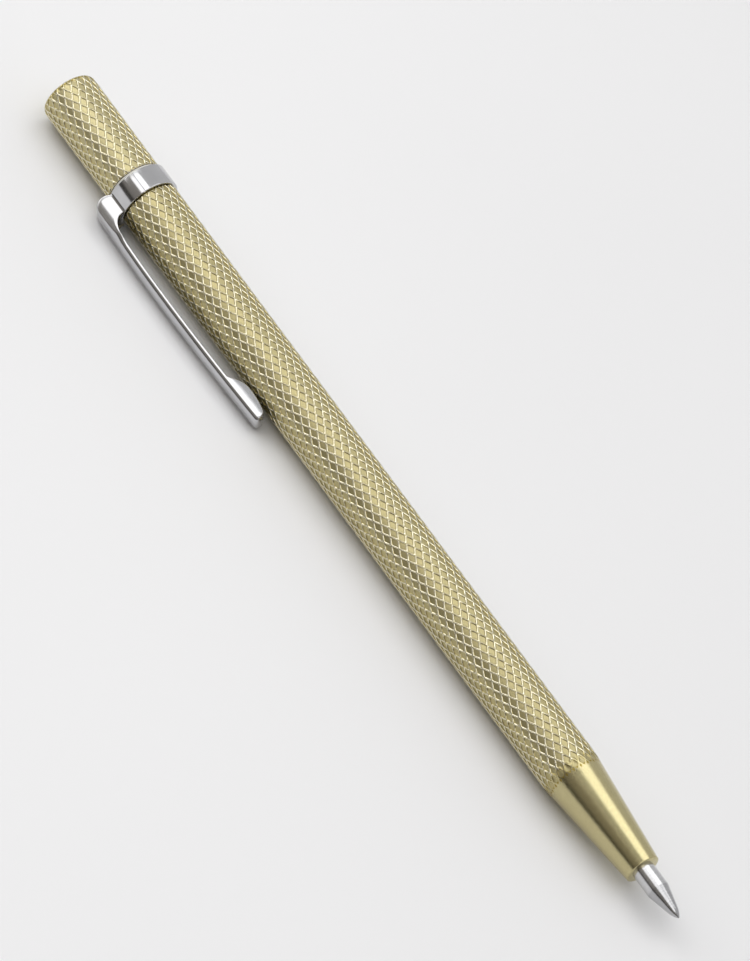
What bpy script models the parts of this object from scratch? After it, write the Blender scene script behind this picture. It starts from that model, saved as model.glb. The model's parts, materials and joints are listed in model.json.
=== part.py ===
"""Pocket scriber: knurled brass barrel and cap, plated spring clip and a carbide point.

Every piece is modelled along the pen's own axis, from the tail (z = 0) to the tip, with the clip
towards +X. The empty pen_axis then lays the pen on its side as it rests on a bench: tip towards
+X, the clip band on the surface and one edge of the clip touching it.
"""

import math

import bmesh
import bpy
from mathutils import Matrix

# ---- driving dimensions, in metres ----
TOTAL_LENGTH = 0.1426
BARREL_RADIUS = 0.0040
CAP_RADIUS = 0.00397
CAP_LENGTH = 0.0163
CAP_END_ROUNDING = 0.0010
EDGE_ROUNDING = 0.0003

POINT_RADIUS = 0.0015
POINT_STICKOUT = 0.0079
POINT_CONE_ANGLE = 13.5
POINT_OGIVE_ANGLE = 37.7
POINT_OGIVE_RADIUS = 0.0034
POINT_TIP_RADIUS = 0.00012
POINT_LENGTH = 0.0262

NOSE_RADIUS = 0.00239
NOSE_TAPER_LENGTH = 0.0166

BAND_RADIUS = 0.00433
BAND_WIDTH = 0.0033
BAND_START = 0.0168
BAND_WALL = 0.00058

CLIP_WIDTH = 0.0028
CLIP_SHEET = 0.0005
CLIP_SHOULDER_HEIGHT = 0.00657
CLIP_CREST_HEIGHT = 0.00706
CLIP_CREST_Z = 0.0310
CLIP_END_HEIGHT = 0.00645
CLIP_END_Z = 0.0552
CLIP_WALL_DEPTH = 0.00091
CLIP_SPLIT_Z = 0.0240
CLIP_CORNER_RADIUS = 0.0015
CLIP_OVERHANG = 0.0003
CLIP_FILLET_RADIUS = 0.0016
LOBE_START_Z = 0.0476
LOBE_LOW_Z = 0.0505
LOBE_REACH = 0.00412

THREAD_RADIUS = 0.0030
STUD_IN_CAP = 0.0086
STUD_IN_BARREL = 0.0090
SPIGOT_GAP = 0.00005
DEEP_BORE_RADIUS = 0.0026
HOLDER_RADIUS = 0.0020
HOLDER_FLANGE_RADIUS = 0.0025
HOLDER_FLANGE_THICKNESS = 0.0011
HOLDER_SEAT_Z = 0.1150
HOLDER_STEP_Z = 0.1260
SCREW_LENGTH = 0.0060
SCREW_SOCKET_FLATS = 0.0025
SCREW_SOCKET_DEPTH = 0.0025
WASHER_RADIUS = 0.0038
WASHER_THICKNESS = 0.0003

GAP = 0.0001
OUTER_STEPS = 64
INNER_STEPS = 32
MERGE = 0.000001

# ---- places worked out from them ----
BAND_END = BAND_START + BAND_WIDTH
NOSE_Z = TOTAL_LENGTH - POINT_STICKOUT
TAPER_START_Z = NOSE_Z - NOSE_TAPER_LENGTH
BARREL_SHOULDER_Z = BAND_END + GAP
SPIGOT_RADIUS = BAND_RADIUS - BAND_WALL - GAP
SPIGOT_START_Z = BAND_START + SPIGOT_GAP
THREAD_BORE_RADIUS = THREAD_RADIUS + GAP
STUD_START_Z = CAP_LENGTH - STUD_IN_CAP
STUD_END_Z = SPIGOT_START_Z + STUD_IN_BARREL
THREAD_BORE_END_Z = STUD_END_Z + 0.0008
POINT_BORE_RADIUS = POINT_RADIUS + GAP
HOLDER_BORE_RADIUS = HOLDER_RADIUS + GAP
POINT_START_Z = TOTAL_LENGTH - POINT_LENGTH

# The resting pen stands on its band, rolled until the clip's lower outer edge meets the surface.
CLIP_EDGE_REACH = math.hypot(CLIP_CREST_HEIGHT, CLIP_WIDTH / 2)
CLIP_EDGE_ANGLE = math.atan2(CLIP_WIDTH / 2, CLIP_CREST_HEIGHT)
CLIP_DROOP = math.asin(BAND_RADIUS / CLIP_EDGE_REACH) - CLIP_EDGE_ANGLE
CLIP_FAR_Y = CLIP_CREST_HEIGHT * math.cos(CLIP_DROOP) + CLIP_WIDTH / 2 * math.sin(CLIP_DROOP)
AXIS_Y = (CLIP_FAR_Y - BAND_RADIUS) / 2
AXIS_Z = BAND_RADIUS


def clear_scene():
    for obj in list(bpy.data.objects):
        bpy.data.objects.remove(obj, do_unlink=True)


def make_collection(name):
    collection = bpy.data.collections.new(name)
    bpy.context.scene.collection.children.link(collection)
    return collection


def make_material(name, colour, metallic, roughness):
    material = bpy.data.materials.new(name)
    material.use_nodes = True
    shader = material.node_tree.nodes["Principled BSDF"]
    shader.inputs["Base Color"].default_value = (*colour, 1.0)
    shader.inputs["Metallic"].default_value = metallic
    shader.inputs["Roughness"].default_value = roughness
    return material


def arc(centre_r, centre_z, radius, start, end, count):
    """Points of an arc in the radius-height plane; angles in degrees from the outward direction."""
    points = []
    for i in range(count + 1):
        angle = math.radians(start + (end - start) * i / count)
        points.append((centre_r + radius * math.cos(angle), centre_z + radius * math.sin(angle)))
    return points


def mesh_object(name, mesh, collection, material=None):
    obj = bpy.data.objects.new(name, mesh)
    collection.objects.link(obj)
    if material:
        mesh.materials.append(material)
    return obj


def turned(name, profile, closed, collection, material=None, steps=OUTER_STEPS):
    """A turned piece: the profile (radius, height) starts at the tip side and runs down outside."""
    bm = bmesh.new()
    verts = [bm.verts.new((radius, 0.0, height)) for radius, height in profile]
    pairs = list(zip(verts, verts[1:]))
    if closed:
        pairs.append((verts[-1], verts[0]))
    for first, second in pairs:
        bm.edges.new((first, second))
    mesh = bpy.data.meshes.new(name)
    bm.to_mesh(mesh)
    bm.free()
    obj = mesh_object(name, mesh, collection, material)
    screw = obj.modifiers.new("turn", "SCREW")
    screw.angle = math.radians(360)
    screw.steps = steps
    screw.render_steps = steps
    screw.use_merge_vertices = True
    screw.merge_threshold = MERGE
    screw.use_smooth_shade = True
    return obj


def extruded(name, outline, width, collection):
    """A flat outline in the X-Z plane, widened both ways along Y, as one closed mesh."""
    curve = bpy.data.curves.new(name + "_outline", "CURVE")
    curve.dimensions = "2D"
    curve.fill_mode = "BOTH"
    curve.extrude = width / 2
    spline = curve.splines.new("POLY")
    spline.points.add(len(outline) - 1)
    for point, (x, z) in zip(spline.points, outline):
        point.co = (x, z, 0.0, 1.0)
    spline.use_cyclic_u = True
    guide = bpy.data.objects.new(name + "_outline", curve)
    collection.objects.link(guide)
    guide.rotation_euler = (math.radians(90), 0.0, 0.0)
    bpy.context.view_layer.update()
    depsgraph = bpy.context.evaluated_depsgraph_get()
    mesh = bpy.data.meshes.new_from_object(guide.evaluated_get(depsgraph))
    mesh.transform(guide.matrix_world)
    bpy.data.objects.remove(guide, do_unlink=True)
    bm = bmesh.new()
    bm.from_mesh(mesh)
    bmesh.ops.remove_doubles(bm, verts=bm.verts, dist=MERGE)
    bmesh.ops.recalc_face_normals(bm, faces=bm.faces)
    bm.to_mesh(mesh)
    bm.free()
    return mesh_object(name, mesh, collection)


def hide_cutter(cutter):
    cutter.hide_render = True
    cutter.display_type = "WIRE"


def boolean(obj, tool, operation):
    modifier = obj.modifiers.new(operation.lower() + "_" + tool.name, "BOOLEAN")
    modifier.operation = operation
    modifier.solver = "EXACT"
    modifier.object = tool
    hide_cutter(tool)


def shade_by_angle(obj, degrees=35.0):
    obj.data.shade_smooth()
    obj.data.set_sharp_from_angle(angle=math.radians(degrees))


# ---- turned pieces ----


def make_barrel(collection, material):
    blend = 0.0012
    taper = math.atan2(BARREL_RADIUS - NOSE_RADIUS, NOSE_TAPER_LENGTH)
    nose_arc = arc(NOSE_RADIUS - EDGE_ROUNDING, NOSE_Z - EDGE_ROUNDING, EDGE_ROUNDING, 90, 5, 4)
    profile = [(POINT_BORE_RADIUS, NOSE_Z)]
    profile += nose_arc
    profile += [
        (BARREL_RADIUS - blend * math.sin(taper), TAPER_START_Z + blend),
        (BARREL_RADIUS - 0.15 * blend * math.sin(taper), TAPER_START_Z + 0.2 * blend),
        (BARREL_RADIUS, TAPER_START_Z - blend),
    ]
    profile += arc(
        BARREL_RADIUS - EDGE_ROUNDING, BARREL_SHOULDER_Z + EDGE_ROUNDING, EDGE_ROUNDING, 0, -90, 4
    )
    profile += [
        (SPIGOT_RADIUS, BARREL_SHOULDER_Z),
        (SPIGOT_RADIUS, SPIGOT_START_Z),
        (THREAD_BORE_RADIUS, SPIGOT_START_Z),
        (THREAD_BORE_RADIUS, THREAD_BORE_END_Z),
        (DEEP_BORE_RADIUS, THREAD_BORE_END_Z + THREAD_BORE_RADIUS - DEEP_BORE_RADIUS),
        (DEEP_BORE_RADIUS, HOLDER_SEAT_Z),
        (HOLDER_BORE_RADIUS, HOLDER_SEAT_Z),
        (HOLDER_BORE_RADIUS, HOLDER_STEP_Z),
        (POINT_BORE_RADIUS, HOLDER_STEP_Z + HOLDER_BORE_RADIUS - POINT_BORE_RADIUS),
    ]
    return turned("barrel", profile, True, collection, material)


def make_rear_cap(collection, material):
    bore_bottom = STUD_START_Z - GAP
    profile = [(0.0, bore_bottom), (THREAD_BORE_RADIUS, bore_bottom), (THREAD_BORE_RADIUS, CAP_LENGTH)]
    profile += arc(CAP_RADIUS - EDGE_ROUNDING, CAP_LENGTH - EDGE_ROUNDING, EDGE_ROUNDING, 90, 0, 4)
    profile += arc(CAP_RADIUS - CAP_END_ROUNDING, CAP_END_ROUNDING, CAP_END_ROUNDING, 0, -90, 8)
    profile.append((0.0, 0.0))
    return turned("rear_cap", profile, False, collection, material)


def make_cap_stud(collection, material):
    chamfer = 0.0005
    profile = [
        (0.0, STUD_END_Z),
        (THREAD_RADIUS - chamfer, STUD_END_Z),
        (THREAD_RADIUS, STUD_END_Z - chamfer),
        (THREAD_RADIUS, STUD_START_Z + chamfer),
        (THREAD_RADIUS - chamfer, STUD_START_Z),
        (0.0, STUD_START_Z),
    ]
    return turned("cap_stud", profile, False, collection, material)


def make_cap_washer(collection, material):
    start = CAP_LENGTH + GAP
    profile = [
        (WASHER_RADIUS, start + WASHER_THICKNESS),
        (WASHER_RADIUS, start),
        (THREAD_BORE_RADIUS, start),
        (THREAD_BORE_RADIUS, start + WASHER_THICKNESS),
    ]
    return turned("cap_washer", profile, True, collection, material)


def make_point_holder(collection, material):
    front = HOLDER_STEP_Z - 0.0005
    flange_front = HOLDER_SEAT_Z - GAP
    flange_back = flange_front - HOLDER_FLANGE_THICKNESS
    bore_bottom = POINT_START_Z - GAP
    chamfer = 0.0003
    profile = [
        (0.0, bore_bottom),
        (POINT_BORE_RADIUS, bore_bottom),
        (POINT_BORE_RADIUS, front),
        (HOLDER_RADIUS - chamfer / 2, front),
        (HOLDER_RADIUS, front - chamfer),
        (HOLDER_RADIUS, flange_front),
        (HOLDER_FLANGE_RADIUS, flange_front),
        (HOLDER_FLANGE_RADIUS, flange_back + chamfer),
        (HOLDER_FLANGE_RADIUS - chamfer, flange_back),
        (0.0, flange_back),
    ]
    return turned("point_holder", profile, False, collection, material, INNER_STEPS)


def make_carbide_point(collection, material):
    tip_centre = TOTAL_LENGTH - POINT_TIP_RADIUS
    inward = POINT_OGIVE_RADIUS - POINT_TIP_RADIUS
    steep = math.radians(POINT_OGIVE_ANGLE)
    ogive_r = -inward * math.cos(steep)
    ogive_z = tip_centre - inward * math.sin(steep)
    profile = arc(0.0, tip_centre, POINT_TIP_RADIUS, 90, POINT_OGIVE_ANGLE, 3)
    profile += arc(ogive_r, ogive_z, POINT_OGIVE_RADIUS, POINT_OGIVE_ANGLE, POINT_CONE_ANGLE, 6)[1:]
    end_r, end_z = profile[-1]
    cone_start = end_z - (POINT_RADIUS - end_r) / math.tan(math.radians(POINT_CONE_ANGLE))
    profile += [
        (POINT_RADIUS, cone_start),
        (POINT_RADIUS, POINT_START_Z + 0.0002),
        (POINT_RADIUS - 0.0002, POINT_START_Z),
        (0.0, POINT_START_Z),
    ]
    profile[0] = (0.0, TOTAL_LENGTH)
    return turned("carbide_point", profile, False, collection, material)


def make_backing_screw(collection, cutters, material):
    front = HOLDER_SEAT_Z - GAP - HOLDER_FLANGE_THICKNESS - GAP
    back = front - SCREW_LENGTH
    chamfer = 0.0004
    profile = [
        (0.0, front),
        (HOLDER_FLANGE_RADIUS - chamfer, front),
        (HOLDER_FLANGE_RADIUS, front - chamfer),
        (HOLDER_FLANGE_RADIUS, back + chamfer),
        (HOLDER_FLANGE_RADIUS - chamfer, back),
        (0.0, back),
    ]
    screw = turned("backing_screw", profile, False, collection, material, INNER_STEPS)
    bm = bmesh.new()
    corner_radius = SCREW_SOCKET_FLATS / 2 / math.cos(math.radians(30))
    bmesh.ops.create_cone(
        bm,
        cap_ends=True,
        segments=6,
        radius1=corner_radius,
        radius2=corner_radius,
        depth=2 * SCREW_SOCKET_DEPTH,
        matrix=Matrix.Translation((0.0, 0.0, back)),
    )
    mesh = bpy.data.meshes.new("socket_cutter")
    bm.to_mesh(mesh)
    bm.free()
    socket = mesh_object("socket_cutter", mesh, cutters)
    boolean(screw, socket, "DIFFERENCE")
    return screw, socket


# ---- the clip ----


def clip_height(z):
    """Height of the clip's outer face above the pen's axis: a shallow bow, highest at its crest."""
    if z < CLIP_CREST_Z:
        span = CLIP_CREST_Z - BAND_START
        drop = CLIP_CREST_HEIGHT - CLIP_SHOULDER_HEIGHT
    else:
        span = CLIP_END_Z - CLIP_CREST_Z
        drop = CLIP_CREST_HEIGHT - CLIP_END_HEIGHT
    return CLIP_CREST_HEIGHT - drop * ((z - CLIP_CREST_Z) / span) ** 2


def spaced(start, end, count):
    return [start + (end - start) * i / count for i in range(count + 1)]


def shoulder_outline():
    """Side view of the shoulder: up from the band, round its outer corner, and down a fillet."""
    root = BAND_RADIUS - BAND_WALL / 2
    rear = BAND_START
    front = BAND_END
    fillet_end = front + CLIP_FILLET_RADIUS
    under = clip_height(fillet_end) - CLIP_WALL_DEPTH
    corner = CLIP_CORNER_RADIUS
    outer_rear = rear - CLIP_OVERHANG
    turn_z = outer_rear + corner
    outline = [(root, rear), (BAND_RADIUS, rear), (BAND_RADIUS + CLIP_OVERHANG, outer_rear)]
    outline += arc(clip_height(turn_z) - corner, turn_z, corner, -90, 0, 6)
    outline += [(clip_height(z), z) for z in spaced(turn_z + corner, CLIP_SPLIT_Z - GAP, 4)]
    outline.append((clip_height(CLIP_SPLIT_Z) - CLIP_WALL_DEPTH, CLIP_SPLIT_Z - GAP))
    outline += [
        (x, z)
        for x, z in arc(under - CLIP_FILLET_RADIUS, fillet_end, CLIP_FILLET_RADIUS, 0, -90, 6)
    ]
    outline.append((root, front))
    return outline


def shoulder_hollow():
    """The space inside the shoulder's sheet, open towards the arm."""
    rear = BAND_START + CLIP_SHEET
    corner = CLIP_CORNER_RADIUS - CLIP_SHEET
    ceiling = clip_height(rear + corner) - CLIP_SHEET
    outline = [(BAND_RADIUS, rear)]
    outline += arc(ceiling - corner, rear + corner, corner, -90, 0, 4)
    outline += [
        (clip_height(z) - CLIP_SHEET, z) for z in spaced(rear + 2 * corner, CLIP_SPLIT_Z + GAP, 4)
    ]
    outline.append((BAND_RADIUS, CLIP_SPLIT_Z + GAP))
    return outline


def lobe_depth(z):
    """How far the side walls reach below the arm's own edge, where they bulge to the barrel."""
    reach = clip_height(LOBE_LOW_Z) - CLIP_WALL_DEPTH - LOBE_REACH
    if z <= LOBE_START_Z:
        return 0.0
    if z <= LOBE_LOW_Z:
        along = (z - LOBE_START_Z) / (LOBE_LOW_Z - LOBE_START_Z)
        return reach * math.sin(along * math.pi / 2)
    along = (z - LOBE_LOW_Z) / (CLIP_END_Z - LOBE_LOW_Z)
    return reach * math.sqrt(max(0.0, 1.0 - along**2))


def arm_outline():
    """Side view of the arm: its bowed outer face, rounded end, and the edge of its side walls."""
    end_round = 0.0006
    outline = [(clip_height(z), z) for z in spaced(CLIP_SPLIT_Z, CLIP_END_Z - end_round, 10)]
    outline += arc(CLIP_END_HEIGHT - end_round, CLIP_END_Z - end_round, end_round, 0, 90, 4)[1:]
    lower = [CLIP_END_Z - 0.0002 * (i + 1) ** 1.4 for i in range(8)]
    lower += spaced(lower[-1] - 0.0006, LOBE_START_Z, 8)
    lower += spaced(LOBE_START_Z - 0.004, CLIP_SPLIT_Z, 5)
    outline += [(clip_height(z) - CLIP_WALL_DEPTH - lobe_depth(z), z) for z in lower]
    return outline


def arm_hollow():
    """The space between the arm's side walls, open below."""
    end = CLIP_END_Z - CLIP_SHEET
    start = CLIP_SPLIT_Z - 2 * GAP
    outline = [(clip_height(z) - CLIP_SHEET, z) for z in spaced(start, end, 10)]
    floor = LOBE_REACH - 0.001
    outline += [(floor, end), (floor, start)]
    return outline


def make_clip_band(collection, cutters, material):
    rounding = 0.0002
    inner = BAND_RADIUS - BAND_WALL
    profile = arc(BAND_RADIUS - rounding, BAND_END - rounding, rounding, 90, 0, 3)
    profile += arc(BAND_RADIUS - rounding, BAND_START + rounding, rounding, 0, -90, 3)
    profile += [(inner, BAND_START), (inner, BAND_END)]
    band = turned("clip_band", profile, True, collection, material)
    shoulder = extruded("clip_shoulder", shoulder_outline(), CLIP_WIDTH, cutters)
    hollow = extruded("shoulder_hollow", shoulder_hollow(), CLIP_WIDTH - 2 * CLIP_SHEET, cutters)
    boolean(shoulder, hollow, "DIFFERENCE")
    boolean(band, shoulder, "UNION")
    return band, [shoulder, hollow]


def make_clip_arm(collection, cutters, material):
    arm = extruded("clip_arm", arm_outline(), CLIP_WIDTH, collection)
    arm.data.materials.append(material)
    hollow = extruded("arm_hollow", arm_hollow(), CLIP_WIDTH - 2 * CLIP_SHEET, cutters)
    boolean(arm, hollow, "DIFFERENCE")
    shade_by_angle(arm)
    return arm, hollow


def move_origin(obj, place):
    """Puts the object's origin on its joint's axis, with its shape left where it is."""
    obj.data.transform(Matrix.Translation([-value for value in place]))
    obj.location = place


def lay_pen_down(pieces):
    """Parents every piece to the pen's axis, and lays that axis along +X on the bench."""
    axis = bpy.data.objects.new("pen_axis", None)
    bpy.context.scene.collection.objects.link(axis)
    sin_droop = math.sin(CLIP_DROOP)
    cos_droop = math.cos(CLIP_DROOP)
    axis.matrix_world = Matrix(
        (
            (0.0, 0.0, 1.0, -TOTAL_LENGTH / 2),
            (-cos_droop, sin_droop, 0.0, AXIS_Y),
            (-sin_droop, -cos_droop, 0.0, AXIS_Z),
            (0.0, 0.0, 0.0, 1.0),
        )
    )
    for piece in pieces:
        piece.parent = axis


def main():
    clear_scene()
    parts = make_collection("scriber")
    cutters = make_collection("cutters")
    cutters.hide_render = True

    barrel_brass = make_material("barrel_brass", (0.50, 0.42, 0.19), 1.0, 0.32)
    cap_brass = make_material("cap_brass", (0.50, 0.43, 0.21), 1.0, 0.34)
    band_chrome = make_material("band_chrome", (0.75, 0.76, 0.78), 1.0, 0.12)
    arm_chrome = make_material("arm_chrome", (0.76, 0.76, 0.77), 1.0, 0.15)
    carbide = make_material("carbide", (0.62, 0.62, 0.64), 1.0, 0.18)
    stud_steel = make_material("stud_steel", (0.52, 0.52, 0.53), 1.0, 0.35)
    holder_steel = make_material("holder_steel", (0.55, 0.55, 0.56), 1.0, 0.32)
    screw_steel = make_material("screw_steel", (0.08, 0.08, 0.09), 0.8, 0.45)
    washer_nylon = make_material("washer_nylon", (0.80, 0.79, 0.74), 0.0, 0.55)

    screw, socket = make_backing_screw(parts, cutters, screw_steel)
    band, band_tools = make_clip_band(parts, cutters, band_chrome)
    arm, arm_cutter = make_clip_arm(parts, cutters, arm_chrome)
    pieces = [
        make_barrel(parts, barrel_brass),
        make_rear_cap(parts, cap_brass),
        make_cap_stud(parts, stud_steel),
        make_cap_washer(parts, washer_nylon),
        make_point_holder(parts, holder_steel),
        make_carbide_point(parts, carbide),
        screw,
        band,
        arm,
        socket,
        arm_cutter,
    ]
    pieces += band_tools
    move_origin(arm, (clip_height(CLIP_SPLIT_Z) - CLIP_WALL_DEPTH / 2, 0.0, CLIP_SPLIT_Z))
    lay_pen_down(pieces)


main()
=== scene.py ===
"""Looks of the pocket scriber: knurled brass, a plated spring clip and a ground carbide point.

Shapes are worked out along the pen's own axis, from the tail (z = 0) to the tip, with the clip
towards +X, in metres. PEN then carries them into the frame's own place and direction.
"""

import json
import math

import bmesh
import bpy
import numpy as np
from mathutils import Matrix, Vector


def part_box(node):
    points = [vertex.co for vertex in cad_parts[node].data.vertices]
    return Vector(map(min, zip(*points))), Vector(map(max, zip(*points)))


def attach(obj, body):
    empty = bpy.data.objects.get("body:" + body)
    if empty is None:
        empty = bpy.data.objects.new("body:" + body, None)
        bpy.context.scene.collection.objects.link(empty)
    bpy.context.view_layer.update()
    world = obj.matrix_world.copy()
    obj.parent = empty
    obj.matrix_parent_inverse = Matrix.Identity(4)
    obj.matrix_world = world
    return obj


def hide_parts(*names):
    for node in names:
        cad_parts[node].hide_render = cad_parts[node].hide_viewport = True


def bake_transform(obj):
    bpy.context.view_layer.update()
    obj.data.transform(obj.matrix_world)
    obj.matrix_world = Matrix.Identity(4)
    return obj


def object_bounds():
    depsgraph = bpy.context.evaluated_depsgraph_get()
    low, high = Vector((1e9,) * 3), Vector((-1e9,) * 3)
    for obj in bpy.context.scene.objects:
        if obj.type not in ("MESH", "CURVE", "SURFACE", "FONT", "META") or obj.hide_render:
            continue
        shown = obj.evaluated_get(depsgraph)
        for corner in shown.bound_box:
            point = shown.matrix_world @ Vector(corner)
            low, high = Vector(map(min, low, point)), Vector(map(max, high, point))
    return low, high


MM = 0.001

# ---- the barrel and the cap ----
BARREL_RADIUS = 4.0 * MM
CAP_RADIUS = 3.97 * MM
CAP_END_ROUNDING = 1.0 * MM
CAP_PLAIN_SHARE = 0.3
EDGE_ROUNDING = 0.15 * MM
NOSE_RADIUS = 2.39 * MM
NOSE_TAPER_LENGTH = 16.6 * MM
NOSE_DOME = 0.2 * MM
POINT_BORE_RADIUS = 1.51 * MM
HOLDER_BORE_RADIUS = 2.1 * MM
DEEP_BORE_RADIUS = 2.6 * MM
HOLDER_SEAT_TO_NOSE = 19.5 * MM
HOLDER_STEP_TO_NOSE = 8.5 * MM
BORE_STEP_TAPER = 0.5 * MM
SPIGOT_CHAMFER = 0.15 * MM

# ---- the knurl: two crossing families of fine raised ridges ----
# KNURL_LINES are the mesh lines across one ridge and its neighbouring cell, as shares of their spacing.
# KNURL_PROFILE is (share of the spacing from the ridge's middle, share of the depth).
KNURL_STARTS = 22
KNURL_PITCH = 2.09 * MM
KNURL_DEPTH = 0.14 * MM
KNURL_LINES = (0.0, 0.08, 0.15, 0.5, 0.85, 0.92)
KNURL_PROFILE = ((0.0, 0.0), (0.08, 0.19), (0.15, 1.0), (0.5, 1.0))
KNURL_FOOT = 0.99
KNURL_MARGIN_TURNS = 8
PLAIN_FACE = 0.5

# ---- the threads ----
CAP_THREAD_PITCH = 1.0 * MM
CAP_THREAD_RADIUS = 3.0 * MM
CAP_THREAD_DEPTH = 0.55 * MM
SCREW_RADIUS = DEEP_BORE_RADIUS - 0.1 * MM
SCREW_THREAD_PITCH = 0.8 * MM
SCREW_THREAD_DEPTH = 0.4 * MM
SOCKET_FLATS = 2.5 * MM
SOCKET_DEPTH = 2.5 * MM
THREAD_PLAY = 0.04 * MM
THREAD_RUNOUT = 0.8 * MM
STUD_CHAMFER = 0.5 * MM
SCREW_CHAMFER = 0.3 * MM

# ---- the clip ----
# CLIP_FOOT_WIDTHS is (height above the pen's axis, half width of the shoulder there), in millimetres.
BAND_RADIUS = 4.325 * MM
BAND_WIDTH = 3.3 * MM
BAND_WALL = 0.58 * MM
BAND_EDGE = 0.12 * MM
BAND_PLAY = 0.1 * MM
SEAM_ANGLE = 279.0
SEAM_HALF_WIDTH = 0.06 * MM
SEAM_DEPTH = 0.2 * MM
CLIP_HALF_WIDTH = 1.4 * MM
CLIP_FOOT_WIDTHS = (
    (3.70, 2.24), (3.78, 2.16), (3.86, 2.10), (3.95, 2.05), (4.05, 2.01), (4.2, 1.97),
    (4.5, 1.93), (5.0, 1.87), (5.5, 1.78), (6.0, 1.64), (6.5, 1.48), (6.9, 1.40),
)
CLIP_SHEET = 0.5 * MM
CLIP_RIM = 0.12 * MM
CLIP_SHOULDER_EDGE = 0.22 * MM
CLIP_SHOULDER_WEB = 0.95
CLIP_SHOULDER_HEIGHT = 6.57 * MM
CLIP_CREST_HEIGHT = 7.06 * MM
CLIP_CREST_Z = 31.0 * MM
CLIP_END_HEIGHT = 6.45 * MM
CLIP_WALL_DEPTH = 0.99 * MM
CLIP_CORNER_RADIUS = 1.5 * MM
CLIP_OVERHANG = 0.3 * MM
OVERHANG_FOOT = 4.0 * MM
OVERHANG_RISE = 0.8 * MM
CLIP_EDGE_ROUNDING = 0.86 * MM
CLIP_FILLET_LENGTH = 2.4 * MM
CLIP_FILLET_FOOT = 4.3 * MM
CLIP_END_ROUNDING = 0.6 * MM
LOBE_START_Z = 47.6 * MM
LOBE_LOW_Z = 50.5 * MM
LOBE_REACH = 4.25 * MM
LOBE_CURL = 0.15 * MM

# ---- the point ----
POINT_RADIUS = 1.5 * MM
POINT_CONE_ANGLE = 13.5
POINT_OGIVE_ANGLE = 37.7
POINT_OGIVE_RADIUS = 3.4 * MM
POINT_TIP_RADIUS = 0.12 * MM

# ---- the view and the light; angles in degrees ----
VIEW_TILT = 21.9
VIEW_FROM_CLIP = 74.0
PEN_SLOPE = 53.4
VIEW_DISTANCE = 1.088
VIEW_AIM_FROM_TIP = 72.2 * MM
VIEW_AIM_ASIDE = 2.13 * MM
LENS = 316.0
SOFTBOX_DISTANCE = 0.6

# ---- how finely turned surfaces are divided round the pen ----
ROUND = 160
BAND_DIVISIONS = 120
POINT_DIVISIONS = 96
STUD_DIVISIONS = 64
SCREW_DIVISIONS = 60


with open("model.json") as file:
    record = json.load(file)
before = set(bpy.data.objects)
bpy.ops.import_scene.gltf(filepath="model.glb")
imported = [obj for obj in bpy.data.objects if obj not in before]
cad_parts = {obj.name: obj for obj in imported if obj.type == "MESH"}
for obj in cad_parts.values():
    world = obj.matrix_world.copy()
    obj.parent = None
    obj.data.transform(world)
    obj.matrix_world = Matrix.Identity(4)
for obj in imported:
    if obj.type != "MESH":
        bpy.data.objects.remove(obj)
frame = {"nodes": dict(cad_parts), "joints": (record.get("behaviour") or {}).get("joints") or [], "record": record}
cad_low, cad_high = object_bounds()
record = frame["record"]
joints = {joint["name"]: joint for joint in frame["joints"]}
tail_end = next(mount for mount in record["mounts"] if mount["name"] == "tail_end")

ALONG = Vector(joints["clip_swivel"]["axis"]).normalized()
CLIP_OUT = Vector(joints["clip_flex"]["axis"]).cross(ALONG).normalized()
TAIL = Vector(tail_end["pos_m"])
ASIDE = ALONG.cross(CLIP_OUT)
PEN = Matrix.Translation(TAIL) @ Matrix((CLIP_OUT, ASIDE, ALONG)).transposed().to_4x4()


def span(node):
    """Where a CAD node starts and ends along the pen, measured from the tail."""
    low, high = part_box(node)
    return (low - TAIL).dot(ALONG), (high - TAIL).dot(ALONG)


CAP_START, CAP_END = span("rear_cap")
BAND_START = span("clip_band")[0] + CLIP_OVERHANG
SPIGOT_Z, NOSE_Z = span("barrel")
STUD_START, STUD_END = span("cap_stud")
POINT_START, TIP_Z = span("carbide_point")
SCREW_START, SCREW_END = span("backing_screw")
CLIP_END_Z = span("clip_arm")[1]
BAND_END = BAND_START + BAND_WIDTH
SHOULDER_Z = BAND_END + BAND_PLAY
TAPER_START_Z = NOSE_Z - NOSE_TAPER_LENGTH


# ---- mesh tools ----


def arc(centre_r, centre_z, radius, start, end, count):
    """Points of an arc in the radius-height plane; angles in degrees from straight outward."""
    angles = [math.radians(start + (end - start) * i / count) for i in range(count + 1)]
    return [(centre_r + radius * math.cos(a), centre_z + radius * math.sin(a)) for a in angles]


def spaced(start, end, count):
    """count + 1 evenly spaced values from start to end."""
    return [start + (end - start) * i / count for i in range(count + 1)]


def finished_object(name, mesh, materials, sharp_angle=None):
    """An object in the scene with these materials, smooth-shaded up to the sharp angle."""
    for material in materials:
        mesh.materials.append(material)
    mesh.shade_smooth()
    if sharp_angle is not None:
        mesh.set_sharp_from_angle(angle=math.radians(sharp_angle))
    obj = bpy.data.objects.new(name, mesh)
    bpy.context.scene.collection.objects.link(obj)
    return obj


def ring_of(bm, radii, angles, heights):
    """A closed ring of vertices, in order of angle."""
    places = zip(radii * np.cos(angles), radii * np.sin(angles), heights)
    return [bm.verts.new((float(x), float(y), float(z))) for x, y, z in places]


def skin(bm, first, second, material):
    """Quads between two rings with the same number of vertices."""
    count = len(first)
    for i in range(count):
        j = (i + 1) % count
        bm.faces.new((first[i], second[i], second[j], first[j])).material_index = material


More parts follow.
